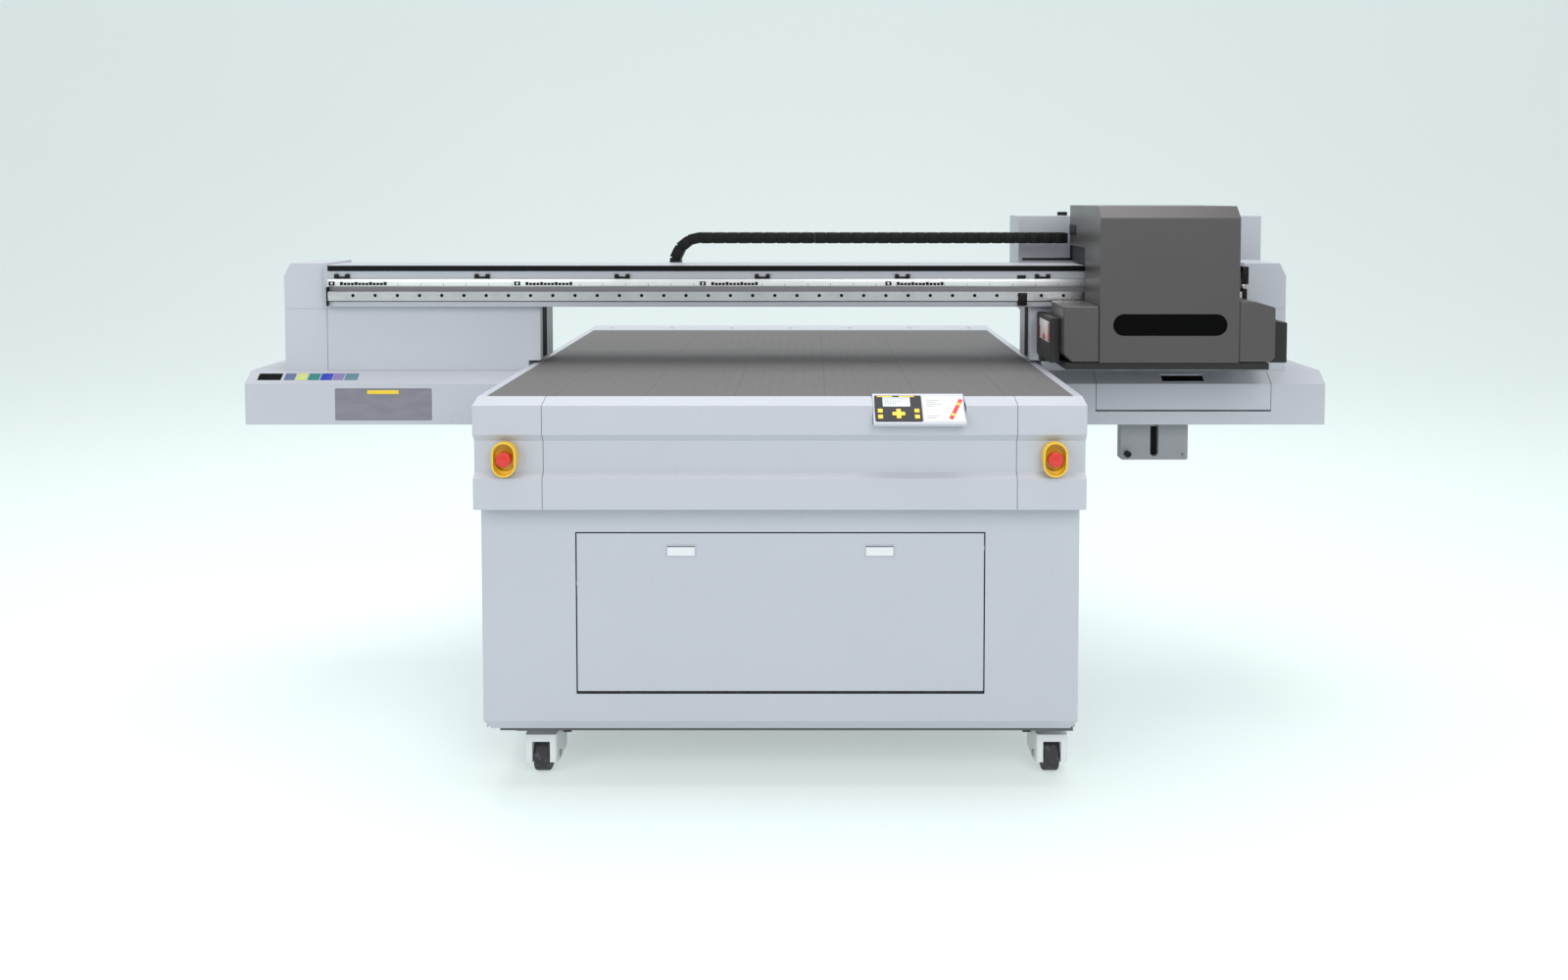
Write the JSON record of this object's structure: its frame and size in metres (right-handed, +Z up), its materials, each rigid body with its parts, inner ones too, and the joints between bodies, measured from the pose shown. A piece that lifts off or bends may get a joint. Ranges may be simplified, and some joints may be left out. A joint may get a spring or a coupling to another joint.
{
  "type": "flatbed uv printer",
  "caption": "Large flatbed inkjet printer: a cabinet on casters with a vacuum bed, a rolling gantry with side wings, and a tall print carriage on its beam",
  "frame": {"origin": "on the floor under the middle of the machine's bounding box", "axes": "+X to the operator's right along the beam, +Y away from the operator along the bed, +Z up"},
  "size_m": [2.844, 1.533, 1.318],
  "materials": {
    "panel_paint": "pale blue-grey powder coat, satin",
    "frame_paint": "grey primer on welded tube",
    "bed_anodised": "dark anodised plate, matt, with fine vacuum holes",
    "chamber_aluminium": "milled",
    "blower_casting": "painted casting",
    "carriage_paint": "warm dark grey powder coat, satin",
    "base_black": "dark grey powder coat",
    "beam_paint": "pale grey powder coat",
    "rail_steel": "ground and oiled",
    "block_steel": "machined steel",
    "chain_plastic": "black moulded links",
    "tray_steel": "folded sheet, pale grey",
    "keypad_black": "black membrane sheet",
    "pedal_plastic": "black moulded",
    "smoked_glass": "smoked acrylic",
    "grey_acrylic": "grey acrylic window",
    "display_glass": "display window",
    "ink_bottle": "moulded tank",
    "guard_yellow": "yellow moulded",
    "button_red": "red moulded",
    "key_yellow": "yellow key",
    "latch_zinc": "pale coated zinc",
    "caster_paint": "white coated steel",
    "wheel_rubber": "black tread",
    "head_metal": "machined",
    "service_paint": "mid grey powder coat"
  },
  "bodies": {
    "cabinet": {"base_frame": "frame_paint", "bed_plate": "bed_anodised", "cabinet_front": "panel_paint", "cabinet_shell": "panel_paint", "caster_plates": "caster_paint", "deck_surround": "panel_paint", "display_window": "display_glass", "door_hinges": "block_steel", "fascia_end_left": "panel_paint", "fascia_end_right": "panel_paint", "front_fascia": "panel_paint", "keypad_face": "keypad_black", "panel_housing": "panel_paint", "stop_guards": "guard_yellow", "vacuum_blower": "blower_casting", "vacuum_chamber": "chamber_aluminium", "y_rails": "rail_steel"},
    "door": {"front_door": "panel_paint"},
    "latch_l": {"latch_left": "latch_zinc"},
    "latch_r": {"latch_right": "latch_zinc"},
    "stop_l": {"stop_button_left": "button_red"},
    "stop_r": {"stop_button_right": "button_red"},
    "gantry": {"beam": "beam_paint", "x_rail": "rail_steel", "end_housing_left": "panel_paint", "end_housing_right": "panel_paint", "beam_legs": "panel_paint", "wing_left": "panel_paint", "wing_right": "panel_paint", "runner_blocks": "block_steel", "chain_tray": "tray_steel", "ink_tanks": "ink_bottle", "ink_window": "grey_acrylic", "service_box": "service_paint"},
    "hatch": {"wing_hatch": "panel_paint"},
    "chain_bend": {"chain_loop": "chain_plastic"},
    "carriage": {"carriage_cover": "carriage_paint", "carriage_base": "base_black", "lamp_left": "carriage_paint", "lamp_right": "carriage_paint", "rear_box": "panel_paint", "print_heads": "head_metal", "x_blocks": "block_steel", "status_window": "smoked_glass", "chain_upper": "chain_plastic"},
    "push_stop": {"key_stop": "key_yellow"},
    "push_start": {"key_start": "key_yellow"},
    "push_cross": {"key_cross": "key_yellow"},
    "push_up": {"key_up": "key_yellow"},
    "push_down": {"key_down": "key_yellow"},
    "swivel_front_left": {"fork_front_left": "caster_paint"},
    "roller_front_left": {"wheel_front_left": "wheel_rubber"},
    "pedal_front_left": {"brake_front_left": "pedal_plastic"},
    "swivel_front_right": {"fork_front_right": "caster_paint"},
    "roller_front_right": {"wheel_front_right": "wheel_rubber"},
    "pedal_front_right": {"brake_front_right": "pedal_plastic"},
    "swivel_back_left": {"fork_back_left": "caster_paint"},
    "roller_back_left": {"wheel_back_left": "wheel_rubber"},
    "swivel_back_right": {"fork_back_right": "caster_paint"},
    "roller_back_right": {"wheel_back_right": "wheel_rubber"}
  },
  "joints": [
    {"name": "gantry_slide", "type": "slide", "parent": "cabinet", "child": "gantry", "axis": [0, 1, 0], "range_m": [-0.42, 0.62]},
    {"name": "carriage_slide", "type": "slide", "parent": "gantry", "child": "carriage", "axis": [1, 0, 0], "range_m": [-1.75, 0], "deforming": ["chain_upper"]},
    {"name": "chain_follow", "type": "slide", "parent": "gantry", "child": "chain_bend", "axis": [1, 0, 0], "range_m": [-0.875, 0]},
    {"name": "door_swing", "type": "hinge", "parent": "cabinet", "child": "door", "pos_m": [0, -0.6805, 0.238], "axis": [1, 0, 0], "range_deg": [0, 90]},
    {"name": "hatch_swing", "type": "hinge", "parent": "gantry", "child": "hatch", "pos_m": [1.0495, -0.1925, 0.788], "axis": [1, 0, 0], "range_deg": [0, 90]},
    {"name": "latch_pull_l", "type": "hinge", "parent": "door", "child": "latch_l", "pos_m": [-0.222, -0.6863, 0.5565], "axis": [1, 0, 0], "range_deg": [-25, 0], "stiffness_Nm_per_rad": 0.4},
    {"name": "latch_pull_r", "type": "hinge", "parent": "door", "child": "latch_r", "pos_m": [0.222, -0.6863, 0.5565], "axis": [1, 0, 0], "range_deg": [-25, 0], "stiffness_Nm_per_rad": 0.4},
    {"name": "stop_press_l", "type": "slide", "parent": "cabinet", "child": "stop_l", "axis": [0, 1, 0], "range_m": [0, 0.005], "stiffness_N_per_m": 1500},
    {"name": "stop_press_r", "type": "slide", "parent": "cabinet", "child": "stop_r", "axis": [0, 1, 0], "range_m": [0, 0.005], "stiffness_N_per_m": 1500},
    {"name": "key_press_stop", "type": "slide", "parent": "cabinet", "child": "push_stop", "axis": [0, 0.572, -0.8202], "range_m": [0, 0.0012], "stiffness_N_per_m": 800},
    {"name": "key_press_start", "type": "slide", "parent": "cabinet", "child": "push_start", "axis": [0, 0.572, -0.8202], "range_m": [0, 0.0012], "stiffness_N_per_m": 800},
    {"name": "key_press_cross", "type": "slide", "parent": "cabinet", "child": "push_cross", "axis": [0, 0.572, -0.8202], "range_m": [0, 0.0012], "stiffness_N_per_m": 800},
    {"name": "key_press_up", "type": "slide", "parent": "cabinet", "child": "push_up", "axis": [0, 0.572, -0.8202], "range_m": [0, 0.0012], "stiffness_N_per_m": 800},
    {"name": "key_press_down", "type": "slide", "parent": "cabinet", "child": "push_down", "axis": [0, 0.572, -0.8202], "range_m": [0, 0.0012], "stiffness_N_per_m": 800},
    {"name": "caster_turn_front_left", "type": "hinge", "parent": "cabinet", "child": "swivel_front_left", "pos_m": [-0.556, -0.5545, 0.1], "axis": [0, 0, 1], "continuous": true},
    {"name": "wheel_spin_front_left", "type": "hinge", "parent": "swivel_front_left", "child": "roller_front_left", "pos_m": [-0.556, -0.5765, 0.0375], "axis": [1, 0, 0], "continuous": true},
    {"name": "brake_press_front_left", "type": "hinge", "parent": "swivel_front_left", "child": "pedal_front_left", "pos_m": [-0.526, -0.5305, 0.078], "axis": [1, 0, 0], "range_deg": [-18, 0]},
    {"name": "caster_turn_front_right", "type": "hinge", "parent": "cabinet", "child": "swivel_front_right", "pos_m": [0.626, -0.5545, 0.1], "axis": [0, 0, 1], "continuous": true},
    {"name": "wheel_spin_front_right", "type": "hinge", "parent": "swivel_front_right", "child": "roller_front_right", "pos_m": [0.626, -0.5765, 0.0375], "axis": [1, 0, 0], "continuous": true},
    {"name": "brake_press_front_right", "type": "hinge", "parent": "swivel_front_right", "child": "pedal_front_right", "pos_m": [0.596, -0.5305, 0.078], "axis": [1, 0, 0], "range_deg": [-18, 0]},
    {"name": "caster_turn_back_left", "type": "hinge", "parent": "cabinet", "child": "swivel_back_left", "pos_m": [-0.556, 0.6565, 0.1], "axis": [0, 0, 1], "continuous": true},
    {"name": "wheel_spin_back_left", "type": "hinge", "parent": "swivel_back_left", "child": "roller_back_left", "pos_m": [-0.556, 0.6345, 0.0375], "axis": [1, 0, 0], "continuous": true},
    {"name": "caster_turn_back_right", "type": "hinge", "parent": "cabinet", "child": "swivel_back_right", "pos_m": [0.626, 0.6565, 0.1], "axis": [0, 0, 1], "continuous": true},
    {"name": "wheel_spin_back_right", "type": "hinge", "parent": "swivel_back_right", "child": "roller_back_right", "pos_m": [0.626, 0.6345, 0.0375], "axis": [1, 0, 0], "continuous": true}
  ],
  "couplings": [
    {"joint": "chain_follow", "follows": "carriage_slide", "ratio": 0.5}
  ]
}
